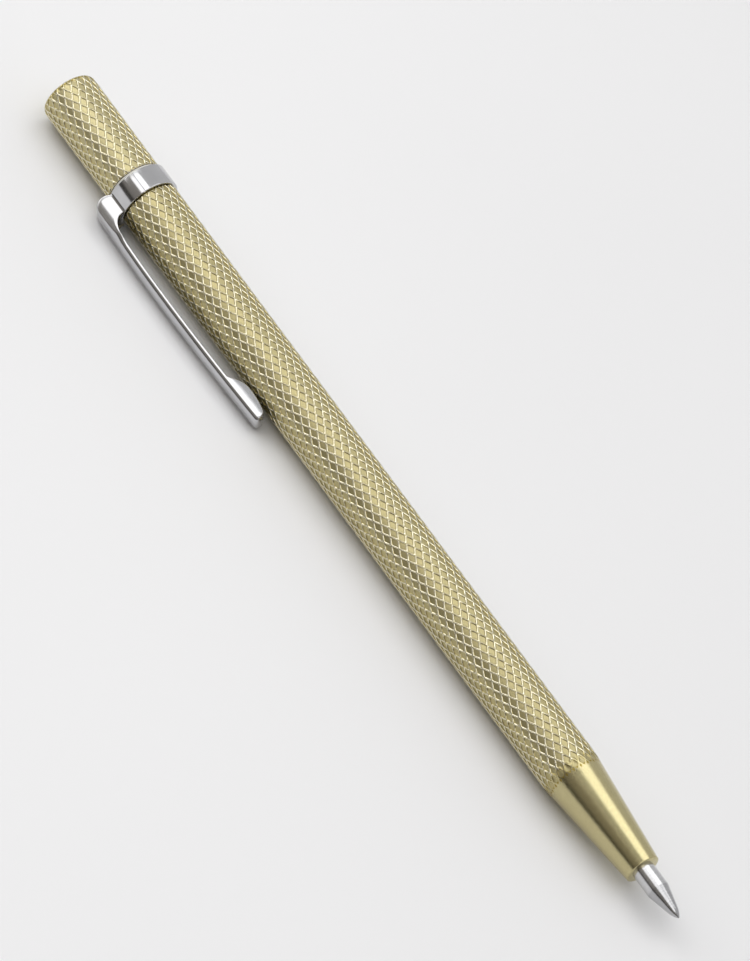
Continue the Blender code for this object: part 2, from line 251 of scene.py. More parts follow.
def stitch(bm, first, second, material):
    """Triangles between two rings of different counts, both in order of angle round the axis."""

    def angle(vertex):
        return math.atan2(vertex.co.y, vertex.co.x) % (2 * math.pi)

    def next_angle(ring, index):
        wrapped = 2 * math.pi if index + 1 >= len(ring) else 0.0
        return angle(ring[(index + 1) % len(ring)]) + wrapped

    first = sorted(first, key=angle)
    second = sorted(second, key=angle)
    i = j = 0
    while i < len(first) or j < len(second):
        next_first = next_angle(first, i)
        next_second = next_angle(second, j)
        here = (first[i % len(first)], second[j % len(second)])
        if j >= len(second) or (i < len(first) and next_first <= next_second):
            i += 1
            corners = (*here, first[i % len(first)])
        else:
            j += 1
            corners = (*here, second[j % len(second)])
        bm.faces.new(corners).material_index = material


def turn(bm, rows, angles, shape=None):
    """A turned surface; each row is (radius, height, surface number, material number). shape gives
    the radii of a numbered surface. Returns the first and the last ring."""
    angles = np.asarray(angles)
    rings = []
    for radius, height, surface, _ in rows:
        radii = shape(surface, radius, angles, height) if surface else np.full(len(angles), radius)
        rings.append(ring_of(bm, radii, angles, np.full(len(angles), height)))
    for upper, lower, row in zip(rings, rings[1:], rows[1:]):
        skin(bm, upper, lower, row[3])
    return rings[0], rings[-1]


def fan(bm, ring, height, material):
    """Closes a ring with a flat disc."""
    centre = bm.verts.new((0.0, 0.0, height))
    for i in range(len(ring)):
        bm.faces.new((centre, ring[i], ring[(i + 1) % len(ring)])).material_index = material


def placed_mesh(bm, name):
    """The finished mesh in the frame's own place, with its normals pointing out."""
    bmesh.ops.recalc_face_normals(bm, faces=bm.faces)
    mesh = bpy.data.meshes.new(name)
    bm.to_mesh(mesh)
    bm.free()
    mesh.transform(PEN)
    mesh.update()
    return mesh


def even_angles(count):
    """Angles round a full turn, from 0."""
    return np.arange(count) * 2 * math.pi / count


# ---- surfaces that aren't plain turned ones ----


def knurl_depth(across):
    """How far down the surface lies, 0 to 1, at a place across one family of ridges."""
    distance = abs(across - round(across))
    stops, depths = zip(*KNURL_PROFILE)
    return float(np.interp(distance, stops, depths))


def knurl_sleeve(bm, start, end, full_radius, outline, relief):
    """A sleeve of crossing ridges between two heights, cut no higher than the turned outline. Its
    mesh lines run along both families of ridges. Returns the rings at its start and at its end."""
    lines = len(KNURL_LINES)
    once_round = lines * KNURL_STARTS
    margin = KNURL_MARGIN_TURNS * once_round
    places = [index // lines + KNURL_LINES[index % lines] for index in range(-margin, margin)]
    depths = [knurl_depth(place) for place in places]
    made = {}

    def vertex(i, j):
        wraps = (i + j) // (2 * once_round)
        key = (i - wraps * once_round, j - wraps * once_round)
        if key not in made:
            first, second = key[0] + margin, key[1] + margin
            angle = math.pi * (places[first] + places[second]) / KNURL_STARTS
            height = (places[first] - places[second]) / 2 * KNURL_PITCH
            limit = outline(min(max(height, start), end))
            cut = full_radius - KNURL_DEPTH * min(depths[first], depths[second])
            radius = min(cut, limit)
            corner = bm.verts.new((radius * math.cos(angle), radius * math.sin(angle), height))
            corner[relief] = min(depths[first], depths[second]) if cut < limit else PLAIN_FACE
            made[key] = corner
        return made[key]

    lowest = math.floor(2 * lines * start / KNURL_PITCH) - lines
    highest = math.ceil(2 * lines * end / KNURL_PITCH) + lines
    for apart in range(lowest, highest):
        for total in range(0, 2 * once_round):
            if (apart + total) % 2 == 0:
                i, j = (total + apart) // 2, (total - apart) // 2
                bm.faces.new((vertex(i, j), vertex(i + 1, j), vertex(i + 1, j + 1), vertex(i, j + 1)))
    for height, outward in ((start, -1.0), (end, 1.0)):
        geometry = bm.verts[:] + bm.edges[:] + bm.faces[:]
        bmesh.ops.bisect_plane(
            bm,
            geom=geometry,
            dist=1e-8,
            plane_co=(0.0, 0.0, height),
            plane_no=(0.0, 0.0, outward),
            clear_outer=True,
        )
    for edge in bm.edges:
        if all(corner[relief] >= KNURL_FOOT for corner in edge.verts):
            edge.smooth = False
    return [[v for v in bm.verts if abs(v.co.z - height) < 1e-7] for height in (start, end)]


def thread_wave(angles, height, pitch):
    """A right-handed thread: 0 in its root, 1 on its crest, with small flats on both."""
    phase = height / pitch - angles / (2 * math.pi)
    wave = 2 * np.abs(phase - np.floor(phase) - 0.5)
    return np.clip(wave * 1.3 - 0.15, 0.0, 1.0)


OUTER_THREAD, INNER_THREAD, SCREW_THREAD = 1, 2, 3


def threaded(surface, radius, angles, height):
    """Radii round one of the threaded surfaces, held within the turned radius given."""
    if surface == OUTER_THREAD:
        cut = CAP_THREAD_DEPTH * (1 - thread_wave(angles, height, CAP_THREAD_PITCH))
        return np.minimum(CAP_THREAD_RADIUS - cut, radius)
    if surface == SCREW_THREAD:
        cut = SCREW_THREAD_DEPTH * (1 - thread_wave(angles, height, SCREW_THREAD_PITCH))
        return np.minimum(SCREW_RADIUS - cut, radius)
    cut = CAP_THREAD_DEPTH * (1 - thread_wave(angles, height, CAP_THREAD_PITCH))
    return np.maximum(CAP_THREAD_RADIUS + THREAD_PLAY - cut, radius)


# ---- materials ----


def node_material(name):
    """A new material, with its nodes, its links and its shader."""
    material = bpy.data.materials.new(name)
    material.use_nodes = True
    nodes, links = material.node_tree.nodes, material.node_tree.links
    return material, nodes, links, nodes["Principled BSDF"]


def noise(nodes, links, scale, detail=2.0, stretch=(1.0, 1.0, 1.0)):
    """Noise in the object's own space, drawn out where stretch is small."""
    coordinates = nodes.new("ShaderNodeTexCoord")
    mapping = nodes.new("ShaderNodeMapping")
    mapping.inputs["Scale"].default_value = stretch
    texture = nodes.new("ShaderNodeTexNoise")
    texture.inputs["Scale"].default_value = scale
    texture.inputs["Detail"].default_value = detail
    links.new(coordinates.outputs["Object"], mapping.inputs["Vector"])
    links.new(mapping.outputs["Vector"], texture.inputs["Vector"])
    return texture.outputs["Fac"]


def ramp(nodes, links, factor, stops):
    """Colours by factor; each stop is (position, colour)."""
    node = nodes.new("ShaderNodeValToRGB")
    elements = node.color_ramp.elements
    elements[0].position, elements[0].color = stops[0][0], (*stops[0][1], 1.0)
    elements[1].position, elements[1].color = stops[-1][0], (*stops[-1][1], 1.0)
    for position, colour in stops[1:-1]:
        element = elements.new(position)
        element.color = (*colour, 1.0)
    links.new(factor, node.inputs["Fac"])
    return node.outputs["Color"]


def value_range(nodes, links, factor, low, high):
    """A factor of 0 to 1, mapped to low to high."""
    node = nodes.new("ShaderNodeMapRange")
    node.inputs["To Min"].default_value = low
    node.inputs["To Max"].default_value = high
    links.new(factor, node.inputs["Value"])
    return node.outputs["Result"]


def bump(nodes, links, height, distance, strength):
    """A normal that follows fine height differences; distance in metres."""
    node = nodes.new("ShaderNodeBump")
    node.inputs["Distance"].default_value = distance
    node.inputs["Strength"].default_value = strength
    links.new(height, node.inputs["Height"])
    return node.outputs["Normal"]


def tinted(nodes, links, colour, factor, amount):
    """The colour, made lighter and darker by a factor of 0 to 1."""
    mix = nodes.new("ShaderNodeMix")
    mix.data_type = "RGBA"
    mix.blend_type = "OVERLAY"
    mix.inputs["Factor"].default_value = amount
    links.new(colour, mix.inputs["A"])
    links.new(factor, mix.inputs["B"])
    return mix.outputs["Result"]


def body_brass(name, crest, face, cell):
    """Satin brass: burnished along the ridges, with the crest colour pushed near white as a painted highlight,
    plain on the turned faces, painted shade at the feet of the ridges, and dull down in the cells.
    """
    material, nodes, links, shader = node_material(name)
    relief = nodes.new("ShaderNodeAttribute")
    relief.attribute_name = "relief"
    # The ridge feet, relief 0.7 to 0.96, take a darker copy of the cell colour: painted shade where the ridges
    # meet the cells.
    ridge_foot_shade = (cell[0] * 0.7, cell[1] * 0.6, cell[2] * 0.3)
    # The crest stops give the ridges the paler crest colour: burnished brass, pushed near white as a painted
    # highlight.
    stops = [(0.0, crest), (0.2, crest), (0.4, face), (0.55, face)]
    stops += [(0.7, ridge_foot_shade), (0.96, ridge_foot_shade), (1.0, cell)]
    colour = ramp(nodes, links, relief.outputs["Fac"], stops)
    grain = noise(nodes, links, 7000, 3.0)
    links.new(tinted(nodes, links, colour, grain, 0.3), shader.inputs["Base Color"])
    dull = ramp(nodes, links, relief.outputs["Fac"], [(0.5, (0.22,) * 3), (0.8, (0.4,) * 3)])
    links.new(dull, shader.inputs["Roughness"])
    links.new(bump(nodes, links, grain, 0.00002, 0.6), shader.inputs["Normal"])
    shader.inputs["Metallic"].default_value = 1.0
    return material


def turned_brass(name, colour_low, colour_high):
    """Fine turning marks round a satin brass surface."""
    material, nodes, links, shader = node_material(name)
    marks = noise(nodes, links, 5000, 2.0, (1.0, 0.02, 0.02))
    cloud = noise(nodes, links, 500, 3.0)
    colour = ramp(nodes, links, cloud, [(0.3, colour_low), (0.7, colour_high)])
    links.new(colour, shader.inputs["Base Color"])
    links.new(value_range(nodes, links, marks, 0.2, 0.34), shader.inputs["Roughness"])
    links.new(bump(nodes, links, marks, 0.000004, 0.5), shader.inputs["Normal"])
    shader.inputs["Metallic"].default_value = 1.0
    return material


def bright_plate(name, colour, roughness, along=(0.05, 1.0, 1.0)):
    """Bright plating over pressed sheet: faint draw lines and a slight unevenness."""
    material, nodes, links, shader = node_material(name)
    lines = noise(nodes, links, 6000, 2.0, along)
    cloud = noise(nodes, links, 350, 2.0)
    low = tuple(c * 0.92 for c in colour)
    links.new(ramp(nodes, links, cloud, [(0.3, low), (0.7, colour)]), shader.inputs["Base Color"])
    dullness = value_range(nodes, links, lines, roughness * 0.7, roughness * 1.4)
    links.new(dullness, shader.inputs["Roughness"])
    links.new(bump(nodes, links, cloud, 0.00002, 0.3), shader.inputs["Normal"])
    shader.inputs["Metallic"].default_value = 1.0
    return material


def ground_metal(name, colour, roughness, stretch, scale=9000):
    """Ground or turned metal, with fine marks in one direction."""
    material, nodes, links, shader = node_material(name)
    marks = noise(nodes, links, scale, 3.0, stretch)
    low = tuple(c * 0.85 for c in colour)
    links.new(ramp(nodes, links, marks, [(0.35, low), (0.65, colour)]), shader.inputs["Base Color"])
    dullness = value_range(nodes, links, marks, roughness * 0.8, roughness * 1.3)
    links.new(dullness, shader.inputs["Roughness"])
    links.new(bump(nodes, links, marks, 0.000003, 0.4), shader.inputs["Normal"])
    shader.inputs["Metallic"].default_value = 1.0
    return material


def nylon(name):
    """Off-white plastic, very slightly uneven in colour."""
    material, nodes, links, shader = node_material(name)
    cloud = noise(nodes, links, 3000, 3.0)
    colour = ramp(nodes, links, cloud, [(0.3, (0.74, 0.72, 0.64)), (0.7, (0.84, 0.83, 0.77))])
    links.new(colour, shader.inputs["Base Color"])
    links.new(value_range(nodes, links, cloud, 0.45, 0.6), shader.inputs["Roughness"])
    shader.inputs["Subsurface Weight"].default_value = 0.1
    return material


# ---- the turned pieces ----


def make_barrel(materials):
    """The barrel from its nose back to the spigot inside the clip's band, and its bores."""
    taper_slope = (BARREL_RADIUS - NOSE_RADIUS) / NOSE_TAPER_LENGTH
    knurl_start = SHOULDER_Z + EDGE_ROUNDING / 2
    knurl_end = TAPER_START_Z + KNURL_DEPTH / taper_slope + KNURL_PITCH / 4

    def outline(z):
        """The turned outline that limits the knurl: the taper, and the rounded rear edge."""
        radius = BARREL_RADIUS - max(0.0, z - TAPER_START_Z) * taper_slope
        inset = max(0.0, SHOULDER_Z + EDGE_ROUNDING - z)
        edge = BARREL_RADIUS - EDGE_ROUNDING + math.sqrt(max(0.0, EDGE_ROUNDING**2 - inset**2))
        return min(radius, edge)

    bm = bmesh.new()
    relief = bm.verts.layers.float.new("relief")
    rear_ring, front_ring = knurl_sleeve(bm, knurl_start, knurl_end, BARREL_RADIUS, outline, relief)
    dome_z = NOSE_Z - NOSE_DOME
    nose = [(outline(z), z, 0, 0) for z in spaced(knurl_end + 0.1 * MM, dome_z - 0.1 * MM, 24)]
    for turned_by in spaced(0.0, math.pi / 2, 10):
        radius = POINT_BORE_RADIUS + (outline(dome_z) - POINT_BORE_RADIUS) * math.cos(turned_by)
        nose.append((radius, NOSE_Z - NOSE_DOME * (1 - math.sin(turned_by)), 0, 0))
    seat = NOSE_Z - HOLDER_SEAT_TO_NOSE
    step = NOSE_Z - HOLDER_STEP_TO_NOSE
    thread_end = STUD_END + THREAD_RUNOUT
    bore = [
        (POINT_BORE_RADIUS, step + BORE_STEP_TAPER, 0, 1),
        (HOLDER_BORE_RADIUS, step, 0, 1),
        (HOLDER_BORE_RADIUS, seat, 0, 1),
        (DEEP_BORE_RADIUS, seat, 0, 1),
        (DEEP_BORE_RADIUS, thread_end + THREAD_RUNOUT / 2, 0, 1),
    ]
    thread_start = SPIGOT_Z + 0.05 * MM
    bore += [(DEEP_BORE_RADIUS * 0.9, z, INNER_THREAD, 1) for z in spaced(thread_end, thread_start, 72)]
    spigot = BAND_RADIUS - BAND_WALL - BAND_PLAY
    tail = [
        (CAP_THREAD_RADIUS + 0.1 * MM, SPIGOT_Z, 0, 1),
        (spigot - SPIGOT_CHAMFER, SPIGOT_Z, 0, 1),
        (spigot, SPIGOT_Z + SPIGOT_CHAMFER, 0, 1),
        (spigot, SHOULDER_Z, 0, 1),
        (BARREL_RADIUS - EDGE_ROUNDING, SHOULDER_Z, 0, 1),
    ]
    knurled = set(bm.verts)
    first, last = turn(bm, nose + bore + tail, even_angles(ROUND), threaded)
    for vertex in set(bm.verts) - knurled:
        vertex[relief] = PLAIN_FACE
    stitch(bm, front_ring, first, 0)
    stitch(bm, last, rear_ring, 0)
    return finished_object("barrel_body", placed_mesh(bm, "barrel_body"), materials, 50)


def make_cap(materials):
    """The cap, rounded at its closed end and bored for the stud at the other."""
    knurl_start = CAP_START + CAP_PLAIN_SHARE * CAP_END_ROUNDING
    knurl_end = CAP_END - EDGE_ROUNDING / 2

    def outline(z):
        """The turned outline that limits the knurl: rounded at both ends."""
        inset = max(0.0, CAP_END_ROUNDING - (z - CAP_START))
        radius = CAP_RADIUS - CAP_END_ROUNDING + math.sqrt(max(0.0, CAP_END_ROUNDING**2 - inset**2))
        inset = max(0.0, z - (CAP_END - EDGE_ROUNDING))
        edge = CAP_RADIUS - EDGE_ROUNDING + math.sqrt(max(0.0, EDGE_ROUNDING**2 - inset**2))
        return min(radius, edge)

    bm = bmesh.new()
    relief = bm.verts.layers.float.new("relief")
    rear_ring, front_ring = knurl_sleeve(bm, knurl_start, knurl_end, CAP_RADIUS, outline, relief)
    stud_hole = CAP_THREAD_RADIUS + 0.05 * MM
    hole_end = STUD_START - 0.1 * MM
    mouth = [(CAP_RADIUS - EDGE_ROUNDING, CAP_END, 0, 1)]
    mouth += [(stud_hole, CAP_END, 0, 1), (stud_hole, hole_end, 0, 1)]
    first, last = turn(bm, mouth, even_angles(ROUND))
    stitch(bm, front_ring, first, 0)
    fan(bm, last, hole_end, 1)
    start_angle = -math.degrees(math.asin(1 - CAP_PLAIN_SHARE)) - 4.0
    centre_r, centre_z = CAP_RADIUS - CAP_END_ROUNDING, CAP_START + CAP_END_ROUNDING
    end = arc(centre_r, centre_z, CAP_END_ROUNDING, start_angle, -90, 6)
    end += [(CAP_RADIUS * 0.5, CAP_START), (CAP_RADIUS * 0.2, CAP_START)]
    knurled = set(bm.verts)
    first, last = turn(bm, [(r, z, 0, 0) for r, z in end], even_angles(ROUND))
    stitch(bm, rear_ring, first, 0)
    fan(bm, last, CAP_START, 0)
    for vertex in set(bm.verts) - knurled:
        vertex[relief] = PLAIN_FACE
    return finished_object("cap_body", placed_mesh(bm, "cap_body"), materials, 50)


def make_stud(material):
    """A plain rod threaded from end to end, with a chamfer at each end."""
    rows = []
    for z in spaced(STUD_END, STUD_START, 220):
        from_end = min(STUD_END - z, z - STUD_START)
        rows.append((CAP_THREAD_RADIUS - max(0.0, STUD_CHAMFER - from_end), z, OUTER_THREAD, 0))
    bm = bmesh.new()
    first, last = turn(bm, rows, even_angles(STUD_DIVISIONS), threaded)
    fan(bm, first, STUD_END, 0)
    fan(bm, last, STUD_START, 0)
    return finished_object("threaded_stud", placed_mesh(bm, "threaded_stud"), [material], 40)


def make_screw(material):
    """The backing screw that locks the holder: threaded, with a hexagon socket facing the cap."""
    rows = []
    for z in spaced(SCREW_END, SCREW_START, 80):
        from_end = min(SCREW_END - z, z - SCREW_START)
        rows.append((SCREW_RADIUS - max(0.0, SCREW_CHAMFER - from_end), z, SCREW_THREAD, 0))
    bm = bmesh.new()
    angles = even_angles(SCREW_DIVISIONS)
    first, last = turn(bm, rows, angles, threaded)
    fan(bm, first, SCREW_END, 0)
    flats = SOCKET_FLATS / 2 / np.cos((angles + math.pi / 6) % (math.pi / 3) - math.pi / 6)
    mouth = ring_of(bm, flats, angles, np.full(SCREW_DIVISIONS, SCREW_START))
    floor_ring = ring_of(bm, flats, angles, np.full(SCREW_DIVISIONS, SCREW_START + SOCKET_DEPTH))
    skin(bm, last, mouth, 0)
    skin(bm, mouth, floor_ring, 0)
    fan(bm, floor_ring, SCREW_START + SOCKET_DEPTH + 0.3 * MM, 0)
    return finished_object("backing_screw_body", placed_mesh(bm, "backing_screw_body"), [material], 30)


def make_point(materials):
    """The carbide rod: a cylinder ground to a slim cone that rounds over towards its tip."""
    steep = math.radians(POINT_OGIVE_ANGLE)
    inward = POINT_OGIVE_RADIUS - POINT_TIP_RADIUS
    tip_centre = TIP_Z - POINT_TIP_RADIUS
    ogive_z = tip_centre - inward * math.sin(steep)
    outline = arc(0.0, tip_centre, POINT_TIP_RADIUS, 80, POINT_OGIVE_ANGLE, 6)
    ogive_r = -inward * math.cos(steep)
    outline += arc(ogive_r, ogive_z, POINT_OGIVE_RADIUS, POINT_OGIVE_ANGLE, POINT_CONE_ANGLE, 14)[1:]
    end_r, end_z = outline[-1]
    wider = POINT_RADIUS - end_r
    cone_start = end_z - wider / math.tan(math.radians(POINT_CONE_ANGLE))
    outline += [(end_r + wider * s, end_z + (cone_start - end_z) * s) for s in spaced(0.0, 1.0, 6)[1:]]
    outline += [(POINT_RADIUS, z) for z in spaced(cone_start, POINT_START + 0.2 * MM, 8)[1:]]
    outline.append((POINT_RADIUS - 0.2 * MM, POINT_START))
    bm = bmesh.new()
    # Rows on the cone and the tip take the second material, carbide painted darker than the rod as painted shade.
    rows = [(r, z, 0, int(z >= cone_start - 1e-7)) for r, z in outline]
    first, last = turn(bm, rows, even_angles(POINT_DIVISIONS))
    fan(bm, first, TIP_Z, 1)
    fan(bm, last, POINT_START, 0)
    return finished_object("ground_point", placed_mesh(bm, "ground_point"), materials, 8)


# ---- the clip ----


def clip_height(z):
    """Height of the clip's outer face above the pen's axis: a shallow bow, highest at its crest."""
    if z < CLIP_CREST_Z:
        run = CLIP_CREST_Z - BAND_START
        drop = CLIP_CREST_HEIGHT - CLIP_SHOULDER_HEIGHT
    else:
        run = CLIP_END_Z - CLIP_CREST_Z
        drop = CLIP_CREST_HEIGHT - CLIP_END_HEIGHT
    return CLIP_CREST_HEIGHT - drop * ((z - CLIP_CREST_Z) / run) ** 2


def lobe_share(z):
    """0 along the plain arm, 1 where the side walls bulge furthest towards the barrel."""
    if z <= LOBE_START_Z:
        return 0.0
    if z <= LOBE_LOW_Z:
        along = (z - LOBE_START_Z) / (LOBE_LOW_Z - LOBE_START_Z)
        return math.sin(along * math.pi / 2)
    along = (z - LOBE_LOW_Z) / (CLIP_END_Z - LOBE_LOW_Z)
    return math.sqrt(max(0.0, 1.0 - along**2))


def wall_edge(z):
    """Height above the axis of the side walls' lower edge."""
    plain = clip_height(z) - CLIP_WALL_DEPTH
    reach = clip_height(LOBE_LOW_Z) - CLIP_WALL_DEPTH - LOBE_REACH
    return plain - reach * lobe_share(z)


def clip_stations():
    """Sections of the channel as (outer point, wall edge, web depth, curl), from the band to the
    clip's end; points are (height, z). The web closes the shoulder and thins out along the arm."""
    rear = BAND_START + 0.02 * MM
    front = BAND_END - 0.02 * MM
    corner = CLIP_CORNER_RADIUS
    fillet_z = front + CLIP_FILLET_LENGTH
    under = clip_height(fillet_z) - CLIP_WALL_DEPTH
    stations = []
    for height, _ in CLIP_FOOT_WIDTHS[:6]:
        stations.append(((height * MM, rear), (height * MM, front), CLIP_SHOULDER_WEB, 0.0))
    turn_z = rear - CLIP_OVERHANG + corner
    shoulder_x = clip_height(turn_z) - corner
    outer = []
    for x in spaced(CLIP_FILLET_FOOT, shoulder_x, 4)[:-1]:
        share = min(1.0, max(0.0, x - OVERHANG_FOOT) / OVERHANG_RISE)
        outer.append((x, rear - CLIP_OVERHANG * share))
    outer += arc(shoulder_x, turn_z, corner, -90, 0, 10)
    outer += [(clip_height(z), z) for z in spaced(turn_z, fillet_z, 6)[1:]]
    rise = under - CLIP_FILLET_FOOT
    for step, point in enumerate(outer):
        turned_by = math.pi / 2 * step / (len(outer) - 1)
        edge_height = CLIP_FILLET_FOOT + rise * math.sin(turned_by)
        edge = (edge_height, fillet_z - CLIP_FILLET_LENGTH * math.cos(turned_by))
        stations.append((point, edge, CLIP_SHOULDER_WEB, 0.0))
    end = CLIP_END_Z - 0.05 * MM
    turn_z = end - CLIP_END_ROUNDING
    heights = spaced(fillet_z, LOBE_START_Z, 30)[1:] + spaced(LOBE_START_Z, turn_z, 22)[1:]
    for z in heights:
        thin = min(1.0, (z - fillet_z) / (3 * MM))
        web = CLIP_SHOULDER_WEB + (CLIP_SHEET / CLIP_WALL_DEPTH - CLIP_SHOULDER_WEB) * thin
        stations.append(((clip_height(z), z), (wall_edge(z), z), web, lobe_share(z)))
    pivot = wall_edge(turn_z)
    low = pivot + 0.55 * MM
    outer = arc(clip_height(turn_z) - CLIP_END_ROUNDING, turn_z, CLIP_END_ROUNDING, 0, 90, 8)[1:]
    outer += [(x, end) for x in spaced(clip_height(turn_z) - CLIP_END_ROUNDING, low, 4)[1:]]
    for step, point in enumerate(outer):
        share = (step + 1) / len(outer)
        edge = (pivot + (low - pivot) * share**2, turn_z + (end - 0.5 * MM - turn_z) * share)
        stations.append((point, edge, 0.4, lobe_share(turn_z) * (1 - 0.3 * share)))
    return stations


def foot_flare(height):
    """How much wider the shoulder stands at this height than the arm; it folds out to the band."""
    heights, widths = zip(*CLIP_FOOT_WIDTHS)
    return float(np.interp(height / MM, heights, widths)) * MM - CLIP_HALF_WIDTH


def channel_section(outer, inner, web, curl):
    """One closed section of the channel: down one wall, across its outer face and up the inside."""
    across = CLIP_HALF_WIDTH
    sheet = CLIP_SHEET
    rounding = min(1.0, max(0.0, (outer[1] - BAND_START) / (BAND_WIDTH + CLIP_FILLET_LENGTH)))
    corner = CLIP_SHOULDER_EDGE + (CLIP_EDGE_ROUNDING - CLIP_SHOULDER_EDGE) * rounding
    edge = CLIP_RIM
    depth = math.hypot(inner[0] - outer[0], inner[1] - outer[1])
    toward = ((inner[0] - outer[0]) / depth, (inner[1] - outer[1]) / depth)
    floor_depth = max(sheet, min(web * depth, depth - 0.05 * MM)) if curl == 0.0 else sheet

    def wall(q):
        """How far out the wall's outer face stands at depth q: the lobe curls in at its bottom."""
        below = max(0.0, (q - CLIP_WALL_DEPTH) / (depth - 0.5 * CLIP_WALL_DEPTH))
        return across - LOBE_CURL * curl * below**2

    centre = across - corner
    bend = (0.0, 0.4, 0.8, 1.2, 1.5708)
    outside = [(centre + corner * math.sin(a), corner - corner * math.cos(a)) for a in bend]
    outside += [(wall(q), q) for q in spaced(corner, max(depth - edge, corner), 6)[1:]]
    foot = wall(depth - edge)
    low = depth - edge
    rim = [(foot - edge + edge * math.cos(a), low + edge * math.sin(a)) for a in (0.5, 1.0, 1.5708)]
    rim += [(foot - sheet + edge - edge * math.sin(a), low + edge * math.cos(a)) for a in (0.0, 0.5, 1.0)]
    lip = min(floor_depth + 0.1 * MM, depth - 0.02 * MM)
    inside = [(wall(q) - sheet, q) for q in reversed(spaced(lip, max(depth - edge, lip), 3))]
    inside.append((wall(floor_depth) - sheet - 0.1 * MM, floor_depth))
    half = outside + rim + inside
    loop = half + [(-y, q) for y, q in reversed(half)]
    section = []
    for y, q in loop:
        height = outer[0] + toward[0] * q
        flare = foot_flare(height) if outer[1] < BAND_END + CLIP_FILLET_LENGTH else 0.0
        section.append((height, y + math.copysign(flare, y), outer[1] + toward[1] * q))
    return section


def loft(name, sections):
    """A closed mesh through sections that all have the same number of points."""
    count = len(sections[0])
    vertices = [point for section in sections for point in section]
    faces = []
    for row in range(len(sections) - 1):
        for i in range(count):
            j = (i + 1) % count
            faces.append((row * count + i, row * count + j, (row + 1) * count + j, (row + 1) * count + i))
    faces.append(tuple(reversed(range(count))))
    faces.append(tuple(range((len(sections) - 1) * count, len(sections) * count)))
    mesh = bpy.data.meshes.new(name)
    mesh.from_pydata(vertices, [], faces)
    bm = bmesh.new()
    bm.from_mesh(mesh)
    bmesh.ops.recalc_face_normals(bm, faces=bm.faces)
    bm.to_mesh(mesh)
    bm.free()
    return mesh


def band_mesh():
    """The rolled band, with rounded edges and the fine seam where its two ends meet."""
    seam = math.radians(SEAM_ANGLE)
    seam_half_width = SEAM_HALF_WIDTH / BAND_RADIUS
    beside_seam = [seam + side * seam_half_width for side in (-2, -1, 1, 2)]
    angles = sorted([*even_angles(BAND_DIVISIONS), *beside_seam])
    inner = BAND_RADIUS - BAND_WALL
    profile = arc(BAND_RADIUS - BAND_EDGE, BAND_END - BAND_EDGE, BAND_EDGE, 90, 0, 6)
    profile += arc(BAND_RADIUS - BAND_EDGE, BAND_START + BAND_EDGE, BAND_EDGE, 0, -90, 6)
    rows = [(r, z, 1, 0) for r, z in profile]
    rows += [(inner, BAND_START, 0, 0), (inner, BAND_END, 0, 0)]

    def seamed(_, radius, at, height):
        return radius - SEAM_DEPTH * (np.abs(at - seam) < 1.5 * seam_half_width)

    bm = bmesh.new()
    first, last = turn(bm, rows, angles, seamed)
    skin(bm, last, first, 0)
    return placed_mesh(bm, "band_blank")


def joined(target, tool):
    """The union of two meshes, as one clean mesh."""
    modifier = target.modifiers.new("union", "BOOLEAN")
    modifier.operation = "UNION"
    modifier.solver = "EXACT"
    modifier.object = tool
    bpy.context.view_layer.update()
    depsgraph = bpy.context.evaluated_depsgraph_get()
    mesh = bpy.data.meshes.new_from_object(target.evaluated_get(depsgraph))
    bpy.data.objects.remove(tool, do_unlink=True)
    bpy.data.objects.remove(target, do_unlink=True)
    return mesh


def make_clip(material):
    """The band and the sprung channel, as one pressing."""
    band = finished_object("band_blank", band_mesh(), [material])
    channel_mesh = loft("channel_blank", [channel_section(*station) for station in clip_stations()])
    channel_mesh.transform(PEN)
    channel = finished_object("channel_blank", channel_mesh, [material])
    mesh = joined(band, channel)
    mesh.name = "pocket_clip"
    mesh.materials.clear()
    return finished_object("pocket_clip", mesh, [material], 40)


# ---- stage, light and view ----


def make_floor():
    """A plain pale bench under the pen."""
    bm = bmesh.new()
    bmesh.ops.create_grid(bm, x_segments=1, y_segments=1, size=4.0)
    mesh = bpy.data.meshes.new("floor")
    bm.to_mesh(mesh)
    bm.free()
    material, nodes, links, shader = node_material("pale_floor")
    cloud = noise(nodes, links, 6.0, 2.0)
    colour = ramp(nodes, links, cloud, [(0.3, (0.86, 0.86, 0.87)), (0.7, (0.89, 0.89, 0.90))])
    links.new(colour, shader.inputs["Base Color"])
    shader.inputs["Roughness"].default_value = 0.7
    floor = bpy.data.objects.new("floor", mesh)
    mesh.materials.append(material)
    floor.location = (0.0, 0.0, cad_low.z)
    bpy.context.scene.collection.objects.link(floor)


def direction_round_pen(from_front):
    """A direction square to the pen: 0 is level on the clip's side, 90 is straight up."""
    angle = math.radians(from_front)
    level = Vector((CLIP_OUT.x, CLIP_OUT.y, 0.0)).normalized()
    return level * math.cos(angle) + Vector((0.0, 0.0, 1.0)) * math.sin(angle)


def make_softbox(name, from_front, width, start, end, radiance):
    """A soft area light above the pen, from start to end along it, seen at the given radiance.
    from_front is its direction round the pen in degrees; lengths are in metres."""
    light = bpy.data.lights.new(name, "AREA")
    light.shape = "RECTANGLE"
    light.size = end - start
    light.size_y = width
    light.energy = radiance * math.pi * width * (end - start)
    lamp = bpy.data.objects.new(name, light)
    back = direction_round_pen(from_front)
    side = back.cross(ALONG).normalized()
    place = back * SOFTBOX_DISTANCE + ALONG * (start + end) / 2
    turned = Matrix((ALONG, side, back)).transposed().to_4x4()
    lamp.matrix_world = Matrix.Translation(place) @ turned
    bpy.context.scene.collection.objects.link(lamp)


